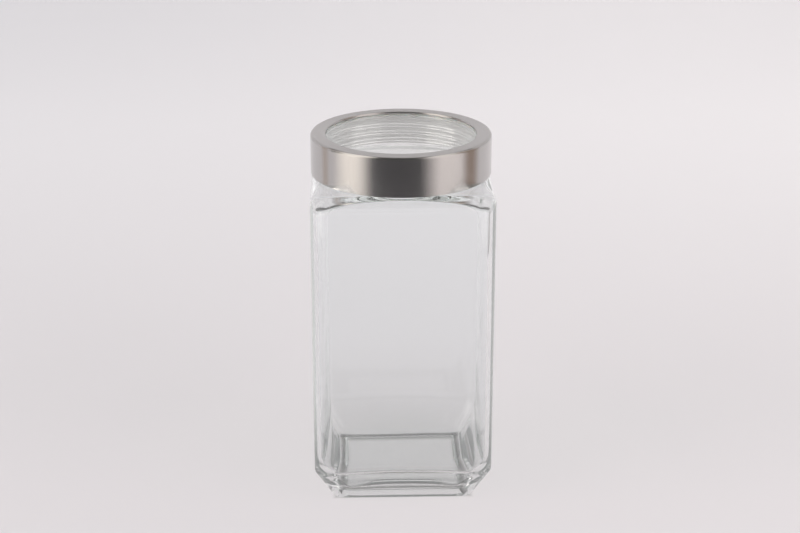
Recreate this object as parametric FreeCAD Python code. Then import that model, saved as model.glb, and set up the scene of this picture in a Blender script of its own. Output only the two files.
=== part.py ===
import FreeCAD, Part
import math
import os

from FreeCAD import Vector

# Square glass storage jar with a screw lid. Millimetres, +Z up.
# The origin is the middle of the base, on the plane the jar stands on.

# Glass body, outside
body_width = 100.0
corner_radius = 10.0
shoulder_height = 182.4
shoulder_radius = 6.0
heel_height = 18.5
heel_inset = 10.5
heel_blend = 8.0
foot_corner_radius = 6.0
foot_radius = 1.5

# Glass body, inside
wall = 3.6
inner_corner_radius = 7.0
inner_shoulder_bevel = 2.0
floor_height = 5.5
floor_inset = 10.9
floor_corner_radius = 9.5
floor_blend = 8.0
inner_heel_height = 15.5

# Recess under the base, which leaves a flat strip to stand on
recess_margin = 4.6
recess_slope = 3.4
recess_depth = 1.6

# Neck. The lid is as wide as the body, so its layers settle the neck's outside.
neck_height = 18.1
neck_wall = 3.4
rim_radius = 1.4
cove_radius = 0.8
bead_height = 3.9
bead_width = 2.6
bead_depth = 1.4

# Seal between the rim and the lid
seal_thickness = 0.9
seal_width = 4.6
seal_clearance = 0.1

# Steel band of the lid
lid_gap = 0.6
sheet = 0.5
band_edge_radius = 1.6
ring_width = 7.8
lip_radius = 0.9
band_clearance = 0.1

# Clear inner cap of the lid
window_thickness = 2.0
window_depth = 1.4
skirt_wall = 1.7
skirt_lift = 0.8
skirt_clearance = 0.9
cap_edge_bevel = 1.2

# Heights and radii that follow from those
body_half = body_width / 2
foot_half = body_half - heel_inset
hollow_half = body_half - wall
hollow_top = shoulder_height - wall
floor_half = hollow_half - floor_inset
lid_radius = body_half
ring_inner_radius = lid_radius - ring_width
cap_radius = lid_radius - sheet - band_clearance
skirt_radius = cap_radius - skirt_wall
seal_radius = skirt_radius - seal_clearance
bead_radius = skirt_radius - skirt_clearance
neck_radius = bead_radius - bead_depth
bore_radius = neck_radius - neck_wall
rim_height = shoulder_height + neck_height
seal_bottom = rim_height + seal_clearance
cap_underside = seal_bottom + seal_thickness + seal_clearance
window_top = cap_underside + window_thickness
lid_top = window_top + window_depth
lid_bottom = shoulder_height + lid_gap
skirt_bottom = lid_bottom + skirt_lift


def rounded_square(half, radius, height):
    # Four straight sides joined by tangent quarter arcs.
    edges = []
    straight = half - radius
    slant = radius * math.sqrt(0.5)
    for quarter in range(4):
        turn = FreeCAD.Rotation(Vector(0, 0, 1), 90 * quarter)
        side_start = turn.multVec(Vector(half, -straight, height))
        side_end = turn.multVec(Vector(half, straight, height))
        arc_middle = turn.multVec(Vector(straight + slant, straight + slant, height))
        arc_end = turn.multVec(Vector(straight, half, height))
        edges.append(Part.LineSegment(side_start, side_end).toShape())
        edges.append(Part.Arc(side_end, arc_middle, arc_end).toShape())
    return Part.Wire(edges)


def frustum(low_half, low, high_half, high):
    # A square pyramid's lower part, upright on the jar's axis.
    block = Part.makeWedge(
        -low_half, 0, -low_half, -high_half, -high_half,
        low_half, high - low, low_half, high_half, high_half)
    block.rotate(Vector(0, 0, 0), Vector(1, 0, 0), 90)
    block.translate(Vector(0, 0, low))
    return block


def edges_at(solid, height):
    # Edges that lie wholly in the level plane at that height.
    found = []
    for edge in solid.Edges:
        box = edge.BoundBox
        if abs(box.ZMin - height) < 1e-4 and abs(box.ZMax - height) < 1e-4:
            found.append(edge)
    return found


def edges_between(solid, low, high):
    # Edges that lie wholly above the low level and reach no higher than the high one.
    found = []
    for edge in solid.Edges:
        box = edge.BoundBox
        if box.ZMin > low + 1e-4 and box.ZMax < high + 1e-4:
            found.append(edge)
    return found


def square_vessel(half, radius, low_half, low_radius, low, bend, top):
    # An upright rounded square that slopes in below the bend, down to a smaller rounded square.
    slope = (half - low_half) / (bend - low)
    cone = frustum(low_half, low, low_half + slope * (top - low), top)
    slanted = [edge for edge in cone.Edges if edge.BoundBox.ZLength > 1]
    cone = cone.makeFillet(low_radius, slanted)
    trunk = Part.Face(rounded_square(half, radius, low)).extrude(Vector(0, 0, top - low))
    return trunk.common(cone)


def flats_round(corner, last, following, rounding, flats):
    # Points on the arc that eases a corner, so that the edge is made of short flats.
    to_last = (last - corner).normalize()
    to_next = (following - corner).normalize()
    half_angle = to_last.getAngle(to_next) / 2
    reach = rounding / math.sin(half_angle)
    setback = rounding / math.tan(half_angle)
    centre = corner + (to_last + to_next).normalize() * reach
    first_arm = corner + to_last * setback - centre
    last_arm = corner + to_next * setback - centre
    sweep = math.pi - 2 * half_angle
    points = []
    for step in range(flats + 1):
        share = step / flats
        first_part = first_arm * (math.sin((1 - share) * sweep) / math.sin(sweep))
        last_part = last_arm * (math.sin(share * sweep) / math.sin(sweep))
        points.append(centre + first_part + last_part)
    return points


def turned(corners):
    # Turns a closed section about the jar's axis. A corner is (radius, height, rounding, flats).
    places = [Vector(corner[0], 0, corner[1]) for corner in corners]
    points = []
    for index, corner in enumerate(corners):
        following = places[(index + 1) % len(places)]
        if len(corner) == 2:
            points.append(places[index])
        else:
            points += flats_round(places[index], places[index - 1], following, corner[2], corner[3])
    section = Part.Face(Part.makePolygon(points + points[:1]))
    return section.revolve(Vector(0, 0, 0), Vector(0, 0, 1), 360)


def glass_body():
    body = square_vessel(body_half, corner_radius, foot_half, foot_corner_radius, 0, heel_height, shoulder_height)
    body = body.makeFillet(heel_blend, edges_between(body, heel_height / 2, heel_height))
    body = body.makeFillet(shoulder_radius, edges_at(body, shoulder_height))
    return body.makeFillet(foot_radius, edges_at(body, 0))


def glass_neck():
    # Cove at the shoulder, then the bead that the lid's skirt runs over, then the eased rim.
    bead_middle = shoulder_height + bead_height
    return turned([
        (0, hollow_top),
        (neck_radius + cove_radius, hollow_top),
        (neck_radius + cove_radius, shoulder_height),
        (neck_radius, shoulder_height + cove_radius),
        (neck_radius, bead_middle - bead_width / 2),
        (bead_radius, bead_middle - bead_width / 6),
        (bead_radius, bead_middle + bead_width / 6),
        (neck_radius, bead_middle + bead_width / 2),
        (neck_radius, rim_height, rim_radius, 2),
        (0, rim_height),
    ])


def glass_hollow():
    hollow = square_vessel(
        hollow_half, inner_corner_radius, floor_half, floor_corner_radius,
        floor_height, floor_height + inner_heel_height, hollow_top)
    hollow = hollow.makeFillet(floor_blend, edges_at(hollow, floor_height))
    hollow = hollow.makeChamfer(inner_shoulder_bevel, edges_at(hollow, hollow_top))
    bore = turned([
        (0, hollow_top - wall),
        (bore_radius, hollow_top - wall),
        (bore_radius, rim_height - rim_radius),
        (bore_radius + 2 * rim_radius, rim_height + rim_radius),
        (0, rim_height + rim_radius),
    ])
    return hollow.fuse(bore)


def base_recess():
    edge_half = foot_half - recess_margin
    return frustum(edge_half, 0, edge_half - recess_slope, recess_depth)


def make_glass_jar():
    jar = glass_body().fuse(glass_neck())
    jar = jar.cut(glass_hollow())
    return jar.cut(base_recess()).Solids[0]


def make_lid_seal():
    return turned([
        (seal_radius - seal_width, seal_bottom),
        (seal_radius, seal_bottom),
        (seal_radius, seal_bottom + seal_thickness),
        (seal_radius - seal_width, seal_bottom + seal_thickness),
    ])


def make_lid_band():
    # One drawn sheet: the outer wall, the eased edge, the flat ring and the lip turned down to the window.
    lip_inside = ring_inner_radius - sheet
    lip_bottom = window_top + band_clearance
    return turned([
        (lid_radius, lid_bottom),
        (lid_radius, lid_top, band_edge_radius, 3),
        (lip_inside, lid_top, lip_radius, 1),
        (lip_inside, lip_bottom),
        (ring_inner_radius, lip_bottom),
        (ring_inner_radius, lid_top - sheet),
        (lid_radius - sheet, lid_top - sheet, band_edge_radius - sheet, 1),
        (lid_radius - sheet, lid_bottom),
    ])


def make_lid_insert():
    # The window disc, the step that carries the steel ring and the skirt round the neck, moulded in one.
    step_radius = ring_inner_radius + band_clearance
    step_top = lid_top - sheet - band_clearance
    return turned([
        (0, cap_underside),
        (skirt_radius, cap_underside),
        (skirt_radius, skirt_bottom),
        (cap_radius, skirt_bottom),
        (cap_radius, step_top - cap_edge_bevel),
        (cap_radius - cap_edge_bevel, step_top),
        (step_radius, step_top),
        (step_radius, window_top),
        (0, window_top),
    ])


pieces = {
    "glass_jar": make_glass_jar(),
    "lid_seal": make_lid_seal(),
    "lid_band": make_lid_band(),
    "lid_insert": make_lid_insert(),
}

os.makedirs("parts", exist_ok=True)
for name, piece in pieces.items():
    print(name, piece.ShapeType, "valid" if piece.isValid() else "not valid", round(piece.Volume), "mm3")
    piece.exportStep("parts/" + name + ".step")
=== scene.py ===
import math

import bmesh
import bpy
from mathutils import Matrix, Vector


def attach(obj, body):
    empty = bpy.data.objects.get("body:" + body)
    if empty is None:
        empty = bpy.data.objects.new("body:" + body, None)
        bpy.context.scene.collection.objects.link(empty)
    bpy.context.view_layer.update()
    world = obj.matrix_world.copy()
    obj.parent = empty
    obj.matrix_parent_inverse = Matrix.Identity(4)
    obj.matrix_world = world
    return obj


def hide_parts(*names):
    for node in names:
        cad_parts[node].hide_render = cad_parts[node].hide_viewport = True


# A square glass storage jar with a brushed steel screw lid, dressed for a studio picture.
# The pieces' sizes are in millimetres, the studio's and the scene's in metres.

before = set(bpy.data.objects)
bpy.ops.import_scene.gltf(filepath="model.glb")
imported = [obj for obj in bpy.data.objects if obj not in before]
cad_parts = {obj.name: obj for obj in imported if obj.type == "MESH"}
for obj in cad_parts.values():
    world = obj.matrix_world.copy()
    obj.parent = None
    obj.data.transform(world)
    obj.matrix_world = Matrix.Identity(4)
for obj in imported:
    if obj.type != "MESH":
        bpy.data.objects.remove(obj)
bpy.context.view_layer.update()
mm = 0.001
tiny = 0.01  # millimetres
nearlyAll = 0.98  # share of a straight side that marks an edge as that side


# Modelling tools

def deselectAll():
    if bpy.context.object and bpy.context.object.mode == "EDIT":
        bpy.ops.object.mode_set(mode="OBJECT")
    bpy.ops.object.select_all(action="DESELECT")


def activate(piece):
    deselectAll()
    piece.select_set(True)
    bpy.context.view_layer.objects.active = piece


# Selects the points that wanted(index, place) names, and nothing else
def pickPoints(piece, wanted):
    bpy.ops.mesh.select_mode(type="VERT")
    cage = bmesh.from_edit_mesh(piece.data)
    for index, point in enumerate(cage.verts):
        point.select = wanted(index, point.co)
    cage.select_flush_mode()
    bmesh.update_edit_mesh(piece.data)


# Selects the long edges among the points from first on
def pickStraights(piece, first, shortest):
    bpy.ops.mesh.select_mode(type="EDGE")
    cage = bmesh.from_edit_mesh(piece.data)
    for edge in cage.edges:
        among = min(point.index for point in edge.verts) >= first
        edge.select = among and edge.calc_length() > shortest
    cage.select_flush_mode()
    bmesh.update_edit_mesh(piece.data)


# A new mesh in edit mode, with one small face in it
def newPiece(name):
    deselectAll()
    bpy.ops.mesh.primitive_plane_add(size=mm)
    piece = bpy.context.object
    piece.name = name
    bpy.ops.object.mode_set(mode="EDIT")
    return piece


# Turns all faces outward and leaves edit mode
def closePiece():
    bpy.ops.mesh.select_all(action="SELECT")
    bpy.ops.mesh.normals_make_consistent(inside=False)
    bpy.ops.object.mode_set(mode="OBJECT")


def applyModifier(piece, kind, name, **settings):
    activate(piece)
    modifier = piece.modifiers.new(name, kind)
    for setting, value in settings.items():
        setattr(modifier, setting, value)
    bpy.ops.object.modifier_apply(modifier=name)


# Unites with or cuts by a second mesh, which is used up
def combine(piece, other, how):
    applyModifier(piece, "BOOLEAN", how.lower(), operation=how, object=other, solver="EXACT")
    bpy.data.objects.remove(other)


# Closes up the slivers that the cuts leave
def mendCuts(piece):
    activate(piece)
    bpy.ops.object.mode_set(mode="EDIT")
    bpy.ops.mesh.select_all(action="SELECT")
    bpy.ops.mesh.dissolve_degenerate(threshold=tiny * mm)
    bpy.ops.object.mode_set(mode="OBJECT")


def smoothShading(piece, angle):
    activate(piece)
    bpy.ops.object.shade_smooth_by_angle(angle=math.radians(angle))
    applyModifier(piece, "WEIGHTED_NORMAL", "evenNormals", keep_sharp=True, weight=100)


# Points on the arc that rounds one corner of an outline
def easeCorner(before, corner, after, radius, steps):
    back = (before - corner).normalized()
    ahead = (after - corner).normalized()
    half = back.angle(ahead) / 2
    setback = radius / math.tan(half)
    centre = corner + (back + ahead).normalized() * (radius / math.sin(half))
    first = corner + back * setback - centre
    last = corner + ahead * setback - centre
    sweep = math.pi - 2 * half
    points = []
    for step in range(steps + 1):
        part = step / steps
        arm = first * math.sin((1 - part) * sweep) + last * math.sin(part * sweep)
        points.append(centre + arm / math.sin(sweep))
    return points


# An open outline through corners of (reach, height, rounding)
def outline(corners, steps):
    places = [Vector(corner[:2]) for corner in corners]
    points = []
    for index, corner in enumerate(corners):
        if corner[2]:
            before, place, after = places[index - 1:index + 2]
            points += easeCorner(before, place, after, corner[2], steps)
        else:
            points.append(places[index])
    return points


# Adds points on runs longer than longest
def divide(points, longest):
    result = [points[0]]
    for point in points[1:]:
        start = result[-1]
        pieces = max(1, math.ceil((point - start).length / longest))
        result += [start.lerp(point, step / pieces) for step in range(1, pieces + 1)]
    return result


# Draws points of (reach, height) as a line of edges in the upright plane at that angle
def drawLine(points, scale, angle=0.0):
    across, along = math.cos(angle), math.sin(angle)
    reach, height = points[0].x * scale, points[0].y * scale
    bpy.ops.mesh.merge(type="CENTER")
    bpy.ops.transform.translate(value=(reach * across, reach * along, height))
    for last, point in zip(points, points[1:]):
        step = (point - last) * scale
        move = (step.x * across, step.x * along, step.y)
        bpy.ops.mesh.extrude_vertices_move(TRANSFORM_OT_translate={"value": move})


# A closed body through level rounded squares of (half width, corner radius, height), upward
def squareStack(name, levels, cornerSteps, sideSteps):
    piece = newPiece(name)
    bpy.ops.mesh.delete(type="VERT")
    count = 4 * (cornerSteps + sideSteps)
    for number, (half, corner, height) in enumerate(levels):
        first = number * count
        bpy.ops.mesh.primitive_plane_add(size=2 * half * mm, location=(0, 0, height * mm))
        bpy.ops.mesh.bevel(
            offset=corner * mm, segments=cornerSteps, profile=0.5, affect="VERTICES")
        pickPoints(piece, lambda index, place: index >= first)
        bpy.ops.mesh.delete(type="ONLY_FACE")
        pickStraights(piece, first, nearlyAll * 2 * (half - corner) * mm)
        bpy.ops.mesh.subdivide(number_cuts=sideSteps - 1)
        if number:
            pickPoints(piece, lambda index, place: index >= first - count)
            bpy.ops.mesh.bridge_edge_loops()
    for first in (0, (len(levels) - 1) * count):
        pickPoints(piece, lambda index, place: first <= index < first + count)
        bpy.ops.mesh.edge_face_add()
    closePiece()
    return piece


# Spins an outline about the jar's axis. A closed outline makes a ring, and an open one
# starts and ends on the axis.
def spinOutline(name, points, closed, turnSteps):
    piece = newPiece(name)
    drawLine(points, mm)
    if closed:
        pickPoints(piece, lambda index, place: index in (0, len(points) - 1))
        bpy.ops.mesh.edge_face_add()
    bpy.ops.mesh.select_all(action="SELECT")
    bpy.ops.mesh.spin(steps=turnSteps, angle=math.tau, center=(0, 0, 0), axis=(0, 0, 1))
    bpy.ops.mesh.select_all(action="SELECT")
    bpy.ops.mesh.remove_doubles(threshold=tiny * mm)
    closePiece()
    return piece


# A right-handed screw ridge that runs out at both ends
def threadRidge(name, ridge):
    root, crest = ridge["root"], ridge["crest"]
    piece = newPiece(name)
    bpy.ops.mesh.select_all(action="SELECT")
    bpy.ops.transform.rotate(value=math.pi / 2, orient_axis="X", center_override=(0, 0, 0))
    bpy.ops.transform.resize(value=(abs(crest - root), 1, ridge["rootWidth"]))
    bpy.ops.transform.translate(value=((root + crest) / 2 * mm, 0, ridge["start"] * mm))
    pickPoints(piece, lambda index, place: abs(place.x - crest * mm) < abs(place.x - root * mm))
    bpy.ops.transform.resize(value=(1, 1, ridge["crestWidth"] / ridge["rootWidth"]))
    bpy.ops.mesh.bevel(
        offset=ridge["easing"] * mm, segments=ridge["easeSteps"], affect="VERTICES")
    bpy.ops.mesh.select_all(action="SELECT")
    bpy.ops.mesh.delete(type="ONLY_FACE")
    bpy.ops.object.mode_set(mode="OBJECT")
    across = len(piece.data.vertices)
    steps = round(ridge["turns"] * ridge["turnSteps"])
    applyModifier(
        piece, "SCREW", "turns", angle=math.tau * ridge["turns"],
        screw_offset=ridge["lead"] * ridge["turns"] * mm, steps=steps, render_steps=steps)
    for index, point in enumerate(piece.data.vertices):
        section = index // across
        toEnd = min(section, steps - section) + 0.5
        part = min(1, toEnd / ridge["fadeSteps"])
        reach = math.hypot(point.co.x, point.co.y)
        scale = (root * mm + (reach - root * mm) * part) / reach
        point.co.x *= scale
        point.co.y *= scale
    activate(piece)
    bpy.ops.object.mode_set(mode="EDIT")
    for first in (0, steps * across):
        pickPoints(piece, lambda index, place: first <= index < first + across)
        bpy.ops.mesh.edge_face_add()
    closePiece()
    return piece


# Material tools

# A shader socket that can be used in sums and products
class Wire:
    def __init__(self, finish, socket):
        self.finish = finish
        self.socket = socket

    def maths(self, operation, *others):
        values = dict(enumerate((self,) + others))
        return self.finish.wire("Math", {"operation": operation}, values)

    def __add__(self, other):
        return self.maths("ADD", other)

    def __sub__(self, other):
        return self.maths("SUBTRACT", other)

    def __mul__(self, other):
        return self.maths("MULTIPLY", other)

    def __rsub__(self, other):
        return self.finish.wire("Math", {"operation": "SUBTRACT"}, {0: other, 1: self})

    __radd__ = __add__
    __rmul__ = __mul__

    # 0 at the start and 1 at the end, with soft ends
    def fade(self, start, end):
        return self.finish.wire(
            "MapRange", {"interpolation_type": "SMOOTHSTEP"}, {0: self, 1: start, 2: end})

    def noise(self, scale, detail, roughness=0.5):
        return self.finish.wire("TexNoise", {}, {
            "Vector": self, "Scale": scale, "Detail": detail, "Roughness": roughness}, "Fac")

    # This wire is the second colour's share
    def blend(self, first, second):
        return self.finish.wire("Mix", {"data_type": "RGBA"}, {0: self, 6: first, 7: second}, 2)

    # This wire is the second shader's share
    def mix(self, first, second):
        return self.finish.wire("MixShader", {}, {0: self, 1: first, 2: second})


class Finish:
    def __init__(self, name, world=None):
        self.material = world or bpy.data.materials.new(name)
        self.material.use_nodes = True
        self.tree = self.material.node_tree
        self.tree.nodes.clear()

    # Adds a node: its settings first, then the values or wires of its sockets
    def node(self, kind, settings, inputs):
        made = self.tree.nodes.new("ShaderNode" + kind)
        for setting, value in settings.items():
            setattr(made, setting, value)
        for name, value in inputs.items():
            socket = made.inputs[name]
            if isinstance(value, Wire):
                self.tree.links.new(value.socket, socket)
            elif socket.type == "RGBA":
                socket.default_value = value + (1,)
            else:
                socket.default_value = value
        return made

    def wire(self, kind, settings, inputs, output=0):
        return Wire(self, self.node(kind, settings, inputs).outputs[output])

    # Several outputs of one node
    def wires(self, kind, inputs, outputs):
        made = self.node(kind, {}, inputs)
        return [Wire(self, made.outputs[output]) for output in outputs]

    def show(self, surface):
        self.node("OutputMaterial", {}, {"Surface": surface})
        return self.material

    def place(self):
        return self.wire("TexCoord", {}, {}, "Object")

    def placeAlong(self, axes):
        return self.wires("SeparateXYZ", {0: self.place()}, axes)

    # Place in turns, radius and height about the jar's axis
    def roundPlace(self):
        x, y, z = self.placeAlong("XYZ")
        radius = (x * x + y * y).maths("SQRT")
        return y.maths("ARCTAN2", x), radius, z


# The glass jar

glassSizes = {
    "half": 50.0, "corner": 10.0, "top": 182.4, "topRound": 6.0,
    "heel": 18.5, "heelRound": 3.5, "footHalf": 39.5, "footCorner": 6.0, "footRound": 1.5,
    "heelArch": 1.8, "archShare": 0.9,  # of the heel's height, up and down from the heel
    "cornerSteps": 16, "sideSteps": 12, "arcSteps": 8, "rise": 6.0, "sharpAngle": 32,
}
hollowSizes = {
    "half": 46.4, "corner": 7.0, "top": 178.8, "topRound": 7.0,
    "shoulderSlope": 0.8, "shoulderSquareness": 2.7, "shoulderSteps": 14,
    "throatLedge": 0.3, "throatFlat": 3.0,
    "heel": 21.0, "heelRound": 24.0,
    "floor": 5.5, "floorHalf": 36.3, "floorCorner": 9.5, "floorRound": 8.0,
    "dome": 0.3, "domeHalf": 4.0, "pinch": 2.4, "pinchTop": 29.0,
    "unevenness": 0.35, "unevenScale": 0.045,  # the scale is in metres
}
recessSizes = {
    "half": 34.9, "corner": 3.5, "slope": 3.4, "depth": 1.6, "round": 0.8,
    "below": 0.5, "belowOut": 1.0, "cornerSteps": 8, "sideSteps": 2, "arcSteps": 4,
}
neckSizes = {
    "radius": 45.4, "bore": 42.0, "boreFlare": 1.6, "rim": 200.5, "rimRound": 1.4,
    "shoulderRadius": 46.2, "shoulderSink": 0.05, "cove": 0.5, "coveRise": 1.0, "rootRise": 1.0,
    "beadRadius": 46.8, "beadLow": 185.0, "beadHigh": 187.6, "beadRound": 0.6,
    "cutAbove": 2.0, "turnSteps": 192, "arcSteps": 5, "boreSteps": 6,
}
glassThread = {
    "root": 45.0, "crest": 46.7, "rootWidth": 2.6, "crestWidth": 1.2, "easing": 0.35,
    "easeSteps": 3, "start": 189.6, "lead": 4.2, "turns": 1.6, "turnSteps": 96, "fadeSteps": 8,
}


# 1 at the middle of a side, 0 at the corners
def middling(place):
    along = min(abs(place.x), abs(place.y)) / max(abs(place.x), abs(place.y))
    return 1 - along * along


def glassOutside():
    g = glassSizes
    corners = [
        (0, 0, 0), (g["footHalf"], 0, g["footRound"]), (g["half"], g["heel"], g["heelRound"]),
        (g["half"], g["top"], g["topRound"]), (0, g["top"], 0)]
    levels = []
    for point in divide(outline(corners, g["arcSteps"])[1:-1], g["rise"]):
        if point.y > g["heel"] + g["heelRound"]:
            corner = g["corner"] - (g["half"] - point.x)
        else:
            share = (point.x - g["footHalf"]) / (g["half"] - g["footHalf"])
            corner = g["footCorner"] + share * (g["corner"] - g["footCorner"])
        levels.append((point.x, corner, point.y))
    body = squareStack("glass_body", levels, g["cornerSteps"], g["sideSteps"])
    for point in body.data.vertices:
        fromHeel = abs(point.co.z / mm - g["heel"])
        rise = max(0, 1 - fromHeel / (g["archShare"] * g["heel"]))
        lift = g["heelArch"] * mm * middling(point.co)
        point.co.z += lift * rise * rise * (3 - 2 * rise)
    return body


# The hollow's shoulder runs from the rounded square into the nearly round throat
def hollowShoulder():
    h = hollowSizes
    throat = neckSizes["bore"] + neckSizes["boreFlare"] + h["throatLedge"]
    diagonal = math.sqrt(2)
    wallReach = (h["half"] - h["corner"]) * diagonal + h["corner"]
    throatReach = h["throatFlat"] * diagonal + throat - h["throatFlat"]
    levels = []
    for step in range(1, h["shoulderSteps"] + 1):
        turn = (1 - (1 - step / h["shoulderSteps"]) ** 2) * math.pi / 2
        out = max(0, math.cos(turn)) ** (2 / h["shoulderSquareness"])
        up = math.sin(turn) ** (2 / h["shoulderSquareness"])
        drop = (h["topRound"] - h["shoulderSlope"]) * (1 - up) + h["shoulderSlope"] * out
        risen = 1 - drop / h["topRound"]
        half = throat + (h["half"] - throat) * math.sqrt(max(0, 1 - risen * risen))
        reach = throatReach + (wallReach - throatReach) * out
        corner = (half * diagonal - reach) / (diagonal - 1)
        levels.append((half, corner, h["top"] - drop))
    return levels


def glassHollow():
    g, h = glassSizes, hollowSizes
    corners = [
        (h["domeHalf"], h["floor"] + h["dome"], 0), (h["floorHalf"], h["floor"], h["floorRound"]),
        (h["half"], h["heel"], h["heelRound"]), (h["half"], h["top"] - h["topRound"], 0)]
    levels = []
    for point in divide(outline(corners, g["arcSteps"]), g["rise"]):
        if point.y > h["heel"] + h["heelRound"]:
            corner = h["corner"]
        elif point.x > h["floorHalf"]:
            share = (point.x - h["floorHalf"]) / (h["half"] - h["floorHalf"])
            corner = h["floorCorner"] + share * (h["corner"] - h["floorCorner"])
        else:
            corner = h["floorCorner"] * point.x / h["floorHalf"]
        levels.append((point.x, corner, point.y))
    levels += hollowShoulder()
    hollow = squareStack("hollow", levels, g["cornerSteps"], g["sideSteps"])
    # Below the pinch's top the middles of the sides are thicker
    for point in hollow.data.vertices:
        below = (h["pinchTop"] - point.co.z / mm) / (h["pinchTop"] - h["floor"])
        depth = min(1, max(0, below))
        reach = max(abs(point.co.x), abs(point.co.y)) / mm
        thickening = h["pinch"] * middling(point.co) * depth * min(1, reach / h["floorHalf"])
        if abs(point.co.x) > abs(point.co.y):
            point.co.x *= 1 - thickening / reach
        else:
            point.co.y *= 1 - thickening / reach
    swell = bpy.data.textures.new("blownUnevenness", "CLOUDS")
    swell.noise_scale = h["unevenScale"]
    swell.noise_depth = 1
    applyModifier(
        hollow, "DISPLACE", "unevenness", texture=swell, strength=h["unevenness"] * mm,
        texture_coords="LOCAL")
    return hollow


def makeGlass():
    g, h, n, r = glassSizes, hollowSizes, neckSizes, recessSizes
    glass = glassOutside()
    root = h["top"] + n["rootRise"]
    neck = outline([
        (0, root, 0), (n["shoulderRadius"], root, 0),
        (n["shoulderRadius"], g["top"] - n["shoulderSink"], 0),
        (n["radius"], g["top"] + n["coveRise"], n["cove"]), (n["radius"], n["beadLow"], n["cove"]),
        (n["beadRadius"], n["beadLow"] + n["beadRound"], n["beadRound"]),
        (n["beadRadius"], n["beadHigh"] - n["beadRound"], n["beadRound"]),
        (n["radius"], n["beadHigh"], n["cove"]), (n["radius"], n["rim"], n["rimRound"]),
        (0, n["rim"], 0)], n["arcSteps"])
    combine(glass, spinOutline("neck", neck, False, n["turnSteps"]), "UNION")
    combine(glass, threadRidge("neckThread", glassThread), "UNION")
    hollow = glassHollow()
    throat = n["bore"] + n["boreFlare"]
    throatLow = h["top"] - 2 * h["topRound"]
    lip = n["bore"] + n["rimRound"] + tiny
    cutTop = n["rim"] + n["cutAbove"]
    bore = outline([
        (0, throatLow, 0), (throat, throatLow, 0), (throat, h["top"], 0),
        (n["bore"], h["top"], n["boreFlare"] - tiny), (n["bore"], n["rim"] + tiny, n["rimRound"]),
        (lip, n["rim"] + tiny, 0), (lip, cutTop, 0), (0, cutTop, 0)], n["boreSteps"])
    combine(hollow, spinOutline("bore", bore, False, n["turnSteps"]), "UNION")
    combine(glass, hollow, "DIFFERENCE")
    recess = outline([
        (r["half"] + r["belowOut"], -r["below"], 0), (r["half"], 0, 0),
        (r["half"] - r["slope"], r["depth"], r["round"]), (0, r["depth"], 0)], r["arcSteps"])
    levels = [(point.x, r["corner"], point.y) for point in recess[:-1]]
    combine(glass, squareStack("recess", levels, r["cornerSteps"], r["sideSteps"]), "DIFFERENCE")
    mendCuts(glass)
    smoothShading(glass, g["sharpAngle"])
    return glass


# The lid

bandSizes = {
    "radius": 50.0, "top": 205.0, "bottom": 183.0, "sheet": 0.5, "edgeRound": 1.6,
    "inside": 41.7, "lipRound": 0.7, "lipBottom": 203.7, "cutRound": 0.15,
    "turnSteps": 256, "arcSteps": 8, "sharpAngle": 40,
}
capSizes = {
    "window": 203.6, "underside": 201.6, "skirtInside": 47.7, "skirtOutside": 49.4,
    "skirtBottom": 183.8, "stepRadius": 42.3, "stepTop": 204.4,
    "edgeRound": 1.3, "innerRound": 1.2, "smallRound": 0.3,
    "turnSteps": 256, "arcSteps": 5, "sharpAngle": 32,
}
capThread = {
    "root": 48.2, "crest": 46.1, "rootWidth": 2.0, "crestWidth": 1.0, "easing": 0.3,
    "easeSteps": 3, "start": 187.5, "lead": 4.2, "turns": 2.3, "turnSteps": 96, "fadeSteps": 8,
}


def makeBand():
    b = bandSizes
    outerInside, lipOutside = b["radius"] - b["sheet"], b["inside"] + b["sheet"]
    under = b["top"] - b["sheet"]
    corners = [
        (b["radius"], b["bottom"], 0), (b["radius"], b["top"], b["edgeRound"]),
        (b["inside"], b["top"], b["lipRound"]), (b["inside"], b["lipBottom"], b["cutRound"]),
        (lipOutside, b["lipBottom"], b["cutRound"]), (lipOutside, under, b["cutRound"]),
        (outerInside, under, b["edgeRound"] - b["sheet"]), (outerInside, b["bottom"], 0)]
    band = spinOutline("steel_band", outline(corners, b["arcSteps"]), True, b["turnSteps"])
    smoothShading(band, b["sharpAngle"])
    return band


def makeCap():
    c = capSizes
    corners = [
        (0, c["underside"], 0), (c["skirtInside"], c["underside"], c["innerRound"]),
        (c["skirtInside"], c["skirtBottom"], c["smallRound"]),
        (c["skirtOutside"], c["skirtBottom"], c["smallRound"]),
        (c["skirtOutside"], c["stepTop"], c["edgeRound"]),
        (c["stepRadius"], c["stepTop"], c["smallRound"]),
        (c["stepRadius"], c["window"], 0), (0, c["window"], 0)]
    cap = spinOutline("clear_cap", outline(corners, c["arcSteps"]), False, c["turnSteps"])
    combine(cap, threadRidge("capThread", capThread), "UNION")
    smoothShading(cap, c["sharpAngle"])
    return cap


glass = makeGlass()
print("stage: glass body made,", len(glass.data.polygons), "faces")
band = makeBand()
cap = makeCap()
print("stage: lid made,", len(band.data.polygons), "and", len(cap.data.polygons), "faces")


# Finishes

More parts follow.
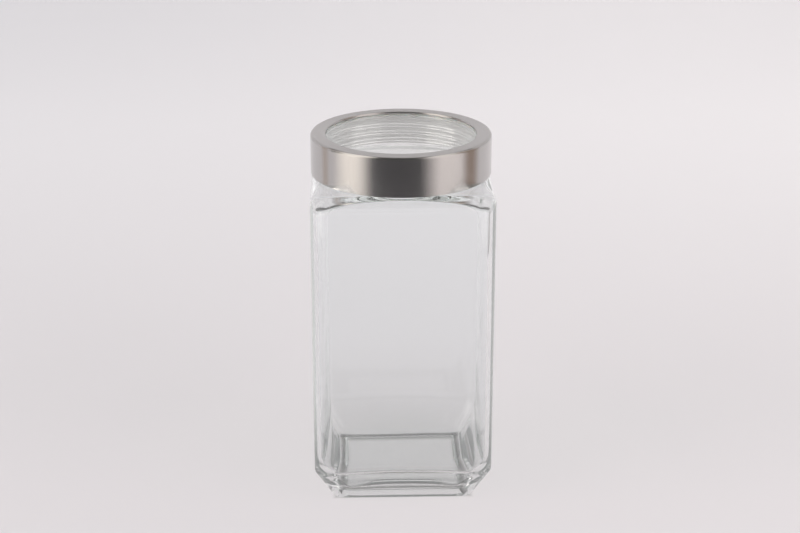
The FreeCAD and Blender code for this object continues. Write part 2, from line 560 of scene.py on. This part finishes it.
# An echo is light that the renderer stops following inside the wall of the glass
glassLook = {
    "highTint": (0.950, 0.965, 0.967), "lowTint": (0.860, 0.868, 0.868), "tintFadeTo": 73.0, "ior": 1.50,
    "shade": (0.95, 0.965, 0.955), "lastEcho": 4, "echoLow": (0.25, 0.26, 0.255),
    "echoLeft": (0.62, 0.63, 0.62), "echoRight": (0.42, 0.43, 0.42),
}
plasticLook = {
    "tint": (0.985, 0.988, 0.985), "ior": 1.49, "roughness": 0.01, "frost": 0.01,
    "shade": (0.95, 0.955, 0.955), "milk": (0.72, 0.725, 0.725), "milkRoughness": 0.3,
    "milkShare": 0.20, "milkTop": 201.4, "milkFade": 0.6,
    "cloudScale": 70.0, "cloudDetail": 3.0, "cloudShare": 0.12,
}
steelLook = {
    "colour": (0.56, 0.548, 0.538), "roughness": 0.20, "brushing": 0.95, "brushTurn": 0.25,
    "lines": 1800, "lineTurns": 1.5, "lineDetail": 3.0, "lineContrast": 0.6,
    "lineRoughness": 0.08, "relief": 0.3, "depth": 0.004,
    "mottleScale": 60.0, "mottleDetail": 2.0, "mottleRoughness": 0.04,
}
sealLook = {
    "colour": (0.72, 0.73, 0.72), "roughness": 0.45, "softness": 0.2,
    "mottleScale": 90.0, "mottleDetail": 2.0, "mottleRoughness": 0.2,
}


# Clear stuff that lets lamp light pass, so that it doesn't throw a black shadow
def clearFinish(finish, solid, shade):
    passing = finish.wire("BsdfTransparent", {}, {"Color": shade})
    lampRay, scatterRay = finish.wires("LightPath", {}, ("Is Shadow Ray", "Is Diffuse Ray"))
    return finish.show(lampRay.maths("MAXIMUM", scatterRay).mix(solid, passing))


# Glass that is darker towards the bottom. Light caught inside the wall comes out as a painted
# pale glow, paler on the left than on the right and dimmer towards the base, which would
# otherwise leave black lines along the edges.
def glassFinish():
    look = glassLook
    finish = Finish("clearGlass")
    x, z = finish.placeAlong("XZ")
    upward = z.fade(0.0, look["tintFadeTo"] * mm)
    across = x.fade(-glassSizes["half"] * mm, glassSizes["half"] * mm)
    echoes = finish.wire("LightPath", {}, {}, "Glossy Depth")
    caught = echoes.maths("COMPARE", look["lastEcho"], 0.5)
    # The painted glow is paler on the left, where the brighter lamp stands, and dimmer towards the
    # base
    upper = across.blend(look["echoLeft"], look["echoRight"])
    solid = finish.wire("BsdfPrincipled", {}, {
        "Base Color": upward.blend(look["lowTint"], look["highTint"]), "Roughness": 0.0,
        "IOR": look["ior"], "Transmission Weight": 1.0, "Emission Strength": 1.0,
        "Emission Color": caught.blend((0, 0, 0), upward.blend(look["echoLow"], upper))})
    return clearFinish(finish, solid, look["shade"])


# A clear window disc with a faintly frosted, milky skirt
def plasticFinish():
    look = plasticLook
    finish = Finish("clearPlastic")
    height = finish.placeAlong("Z")[0]
    below = height.fade((look["milkTop"] + look["milkFade"]) * mm, look["milkTop"] * mm)
    cloud = finish.place().noise(look["cloudScale"], look["cloudDetail"])
    clear = finish.wire("BsdfPrincipled", {}, {
        "Base Color": look["tint"], "Roughness": look["roughness"] + below * look["frost"],
        "IOR": look["ior"], "Transmission Weight": 1.0})
    milk = finish.wire("BsdfPrincipled", {}, {
        "Base Color": look["milk"], "Roughness": look["milkRoughness"]})
    share = below * (look["milkShare"] + (cloud - 0.5) * look["cloudShare"])
    return clearFinish(finish, share.mix(clear, milk), look["shade"])


# Steel brushed round its axis: fine lines that follow the turn
def steelFinish():
    s = steelLook
    finish = Finish("brushedSteel")
    turn, radius, height = finish.roundPlace()
    lines = finish.wire("CombineXYZ", {}, {
        0: turn * s["lineTurns"], 1: radius * s["lines"], 2: height * s["lines"]})
    grain = lines.noise(1.0, s["lineDetail"], s["lineContrast"])
    mottling = finish.place().noise(s["mottleScale"], s["mottleDetail"])
    uneven = (grain - 0.5) * s["lineRoughness"]
    bump = finish.wire("Bump", {}, {
        "Strength": s["relief"], "Distance": s["depth"] * mm, "Height": grain})
    steel = finish.wire("BsdfPrincipled", {}, {
        "Base Color": s["colour"], "Metallic": 1.0,
        "Roughness": s["roughness"] + uneven + (mottling - 0.5) * s["mottleRoughness"],
        "Anisotropic": s["brushing"], "Anisotropic Rotation": s["brushTurn"],
        "Tangent": finish.wire("Tangent", {"direction_type": "RADIAL", "axis": "Z"}, {}),
        "Normal": bump})
    return finish.show(steel)


def sealFinish():
    look = sealLook
    finish = Finish("softSeal")
    mottling = finish.place().noise(look["mottleScale"], look["mottleDetail"])
    rubber = finish.wire("BsdfPrincipled", {}, {
        "Base Color": look["colour"], "Subsurface Weight": look["softness"],
        "Roughness": look["roughness"] + (mottling - 0.5) * look["mottleRoughness"]})
    return finish.show(rubber)


def dress(piece, material):
    piece.data.materials.clear()
    piece.data.materials.append(material)


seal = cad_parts["lid_seal"]
for piece, material, node, body, slot in (
        (glass, glassFinish(), "glass_jar", "jar", "clear_glass"),
        (band, steelFinish(), "lid_band", "lid", "brushed_steel"),
        (cap, plasticFinish(), "lid_insert", "lid", "clear_plastic")):
    dress(piece, material)
    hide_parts(node)
    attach(piece, body)
dress(seal, sealFinish())
print("stage: finishes on")


# Studio. Azimuth 0 is the camera's side of the jar, and 90 its right side.

studio = {
    "floorSize": 9.0, "wallRadius": 2.2, "wallHeight": 2.0, "coveRadius": 0.4, "wallFoot": 0.001,
    "wallFrom": 8, "wallTo": 172,  # degrees anticlockwise from the right, seen from above
    "wallSteps": 64, "coveSteps": 10,
    "wallPaper": (0.80, 0.80, 0.84), "wallGlow": (1.0, 0.97, 0.98), "frontGlow": (0.80, 0.78, 0.79),
    "paperRoughness": 0.75, "paperShine": 0.1, "ownGlow": 0.55, "lampAim": (0, 0, 0.12),
    "roomGrey": (0.10, 0.098, 0.095), "skyWhite": (0.62, 0.60, 0.61), "skyThroughGlass": 0.15,
}
softboxes = {
    "leftBox": {
        "azimuth": -66, "distance": 1.15, "height": 0.75, "width": 0.95, "tall": 0.85,
        "power": 18.5, "colour": (1.0, 0.92, 0.85)},
    "rightBox": {
        "azimuth": 57, "distance": 1.15, "height": 0.75, "width": 0.95, "tall": 0.85,
        "power": 14.2, "colour": (1.0, 0.94, 0.90)},
}
# Cards lean from 0, lying down, to 90, upright. Width goes round the jar, tall outward or up.
# inGlass is a card's colour where smooth glass reflects it, and hiddenFromGlass its share
# that smooth glass doesn't reflect.
# These cards are painted reflections: glowing sheets that only reflections see, pale ones as lamps
# and paper, dark ones as the dim room. inGlass is a painted highlight in the glass.
studioCards = {
    "leftLight": {
        "azimuth": -64, "distance": 0.5, "lean": 90, "width": 0.62, "tall": 1.1, "height": 0.551,
        "softEdge": 0.46, "hiddenFromGlass": 0.0, "colour": (1.52, 1.41, 1.30),
        "inGlass": (1.7, 1.64, 1.6)},
    "rightLight": {
        "azimuth": 57, "distance": 0.5, "lean": 90, "width": 0.80, "tall": 1.1, "height": 0.551,
        "softEdge": 0.44, "hiddenFromGlass": 0.0, "colour": (1.12, 1.03, 1.00),
        "inGlass": (1.5, 1.45, 1.42)},
    "rightBrown": {
        "azimuth": 92.5, "distance": 0.45, "lean": 90, "width": 0.32, "tall": 0.7,
        "height": 0.351, "softEdge": 0.45, "hiddenFromGlass": 0.2, "colour": (0.38, 0.29, 0.24),
        "inGlass": (0.10, 0.105, 0.10)},
    "leftBrown": {
        "azimuth": -108, "distance": 0.45, "lean": 90, "width": 0.16, "tall": 0.7,
        "height": 0.351, "softEdge": 0.45, "hiddenFromGlass": 1.0, "colour": (0.62, 0.54, 0.50)},
    "leftOverhead": {
        "azimuth": -95, "distance": 0.6, "lean": 0, "width": 0.9, "tall": 0.7, "height": 0.9,
        "softEdge": 0.3, "hiddenFromGlass": 1.0, "colour": (1.3, 1.24, 1.18)},
    "rightOverhead": {
        "azimuth": 95, "distance": 0.6, "lean": 0, "width": 0.9, "tall": 0.7, "height": 0.9,
        "softEdge": 0.3, "hiddenFromGlass": 1.0, "colour": (1.1, 1.05, 1.0)},
    "topBack": {
        "azimuth": 180, "distance": 1.3, "lean": 0, "width": 2.6, "tall": 2.2, "height": 2.3,
        "softEdge": 0.3, "hiddenFromGlass": 1.0, "colour": (0.62, 0.60, 0.59)},
    "frontDark": {
        "azimuth": 0, "distance": 1.25, "lean": 0, "width": 2.2, "tall": 1.8, "height": 0.002,
        "softEdge": 0.10, "hiddenFromGlass": 1.0, "colour": (0.015, 0.015, 0.018)},
}
# Painted shading on the floor: darker near the jar and on the left, paler far off and on the right
floorLook = {
    "nearLeft": (0.72, 0.72, 0.76), "farLeft": (0.76, 0.765, 0.80),
    "nearRight": (0.74, 0.735, 0.77), "farRight": (0.80, 0.80, 0.83),
}
floorGlow = {
    "nearLeft": (0.68, 0.66, 0.69), "farLeft": (1.06, 1.03, 1.06),
    "nearRight": (0.85, 0.81, 0.83), "farRight": (1.22, 1.17, 1.19),
}
floorFades = {"back": (-0.1, 0.85), "outward": (0.9, 1.8), "rightward": (-0.5, 0.5)}
# Painted shadow on the floor round the jar's foot
footShadow = {"reach": 35.0, "width": 6.0, "colour": (0.26, 0.26, 0.26)}


def towards(azimuth, distance):
    angle = math.radians(azimuth)
    return Vector((math.sin(angle), -math.cos(angle), 0)) * distance


# A pale surface that glows a little where it is looked at, as white paper far from the lamps
def paleFinish(finish, colour, glow):
    lit = finish.wire("BsdfPrincipled", {}, {
        "Base Color": colour, "Roughness": studio["paperRoughness"],
        "Specular IOR Level": studio["paperShine"]})
    shine = finish.wire("Emission", {}, {"Color": glow})
    straight, mirrored, through = finish.wires(
        "LightPath", {}, ("Is Camera Ray", "Is Glossy Ray", "Is Transmission Ray"))
    looked = straight.maths("MAXIMUM", mirrored).maths("MAXIMUM", through)
    return finish.show((looked * studio["ownGlow"]).mix(lit, shine))


# The floor's colour runs from near to far and from left to right as painted shading, with a painted
# shadow round the foot
def floorColour(finish, look):
    x, y = finish.placeAlong("XY")
    outward = (x * x + y * y).maths("SQRT").fade(*floorFades["outward"])
    away = y.fade(*floorFades["back"]).maths("MAXIMUM", outward)
    left = away.blend(look["nearLeft"], look["farLeft"])
    right = away.blend(look["nearRight"], look["farRight"])
    pale = x.fade(*floorFades["rightward"]).blend(left, right)
    reach = x.maths("ABSOLUTE").maths("MAXIMUM", y.maths("ABSOLUTE"))
    aside = (reach - footShadow["reach"] * mm).maths("ABSOLUTE")
    return aside.fade(0.0, footShadow["width"] * mm).blend(footShadow["colour"], pale)


def makeFloor():
    deselectAll()
    bpy.ops.mesh.primitive_plane_add(size=studio["floorSize"])
    floor = bpy.context.object
    floor.name = "studioFloor"
    finish = Finish("paleFloor")
    colour, glow = floorColour(finish, floorLook), floorColour(finish, floorGlow)
    floor.data.materials.append(paleFinish(finish, colour, glow))


def makeWall(name, first, last, material):
    s = studio
    points = outline([
        (0, s["wallFoot"], 0), (s["wallRadius"], s["wallFoot"], s["coveRadius"]),
        (s["wallRadius"], s["wallHeight"], 0)], s["coveSteps"])
    wall = newPiece(name)
    drawLine(points[1:], 1, math.radians(first))
    bpy.ops.mesh.select_all(action="SELECT")
    bpy.ops.mesh.spin(
        steps=s["wallSteps"], angle=math.radians(first - last), center=(0, 0, 0), axis=(0, 0, 1))
    bpy.ops.object.mode_set(mode="OBJECT")
    bpy.ops.object.shade_smooth()
    wall.data.materials.append(material)
    return wall


# The wall behind the photographer is there only for whoever looks that way, straight or
# through the glass
def frontWallFinish():
    finish = Finish("paleFrontWall")
    straight, through, mirrored = finish.wires(
        "LightPath", {}, ("Is Camera Ray", "Is Transmission Ray", "Glossy Depth"))
    seen = straight + through * (1 - mirrored.maths("GREATER_THAN", 0.5))
    pale = finish.wire("Emission", {}, {"Color": studio["frontGlow"]})
    return finish.show(seen.mix(finish.wire("BsdfTransparent", {}, {}), pale))


def makeWalls():
    s = studio
    paper = paleFinish(Finish("paleWall"), s["wallPaper"], s["wallGlow"])
    makeWall("studioWall", s["wallFrom"], s["wallTo"], paper)
    front = makeWall("frontWall", s["wallTo"], s["wallFrom"] + 360, frontWallFinish())
    front.visible_shadow = False
    front.visible_diffuse = False
    front.visible_glossy = False


# Glowing cards that only reflections see, painted reflections of lamps, flags and reflectors as
# they stand round a photographer's table
def makeCards():
    for name, card in studioCards.items():
        deselectAll()
        bpy.ops.mesh.primitive_plane_add(size=1)
        flag = bpy.context.object
        flag.name = name
        flag.scale = (card["width"], card["tall"], 1)
        flag.rotation_euler = (math.radians(card["lean"]), 0, math.radians(card["azimuth"]))
        flag.location = towards(card["azimuth"], card["distance"])
        flag.location.z = card["height"]
        bpy.ops.object.transform_apply(location=True, rotation=True, scale=True)
        finish = Finish(name)
        across = finish.wire("SeparateXYZ", {}, {0: finish.wire("TexCoord", {}, {}, "UV")})
        inward = 0.5 - (across - 0.5).maths("ABSOLUTE")
        sharp, mirrored = finish.wires("LightPath", {}, ("Is Singular Ray", "Glossy Depth"))
        reflected = inward.fade(0.0, card["softEdge"]) * mirrored.maths("GREATER_THAN", 0.5)
        share = reflected * (1 - sharp * card["hiddenFromGlass"])
        colour = sharp.blend(card["colour"], card.get("inGlass", card["colour"]))
        tone = finish.wire("Emission", {}, {"Color": colour})
        nothing = finish.wire("BsdfTransparent", {}, {})
        flag.data.materials.append(finish.show(share.mix(nothing, tone)))
        flag.visible_camera = False
        flag.visible_shadow = False
        flag.visible_diffuse = False


def makeLamps():
    for name, box in softboxes.items():
        place = towards(box["azimuth"], box["distance"])
        place.z = box["height"]
        lamp = bpy.data.lights.new(name, "AREA")
        lamp.shape = "RECTANGLE"
        lamp.size = box["width"]
        lamp.size_y = box["tall"]
        lamp.energy = box["power"]
        lamp.color = box["colour"]
        holder = bpy.data.objects.new(name, lamp)
        bpy.context.scene.collection.objects.link(holder)
        holder.location = place
        holder.visible_glossy = False  # the cards stand in for it in reflections
        aim = Vector(studio["lampAim"]) - place
        holder.rotation_euler = aim.to_track_quat("-Z", "Y").to_euler()


def makeRoom():
    world = bpy.data.worlds.new("studioRoom")
    bpy.context.scene.world = world
    finish = Finish("studioRoom", world)
    sky = finish.wire("Background", {}, {"Color": studio["skyWhite"]})
    room = finish.wire("Background", {}, {"Color": studio["roomGrey"]})
    straight, through = finish.wires("LightPath", {}, ("Is Camera Ray", "Is Transmission Ray"))
    looked = straight + through * studio["skyThroughGlass"]
    finish.node("OutputWorld", {}, {"Surface": looked.mix(room, sky)})


makeFloor()
makeWalls()
makeCards()
makeLamps()
makeRoom()
print("stage: studio set up")


# Camera at the photograph's angle. The place, the lens and the sensor are in millimetres.

view = {"place": (-27.3, -917.0, 466.8), "turn": 1.669, "tilt": 20.39, "lens": 77.7, "sensor": 36}

camera = bpy.data.objects.new("camera", bpy.data.cameras.new("camera"))
bpy.context.scene.collection.objects.link(camera)
camera.location = Vector(view["place"]) * mm
camera.rotation_euler = (math.radians(90 - view["tilt"]), 0, -math.radians(view["turn"]))
camera.data.lens = view["lens"]
camera.data.sensor_width = view["sensor"]
bpy.context.scene.camera = camera
bpy.context.scene.view_settings.view_transform = "Standard"
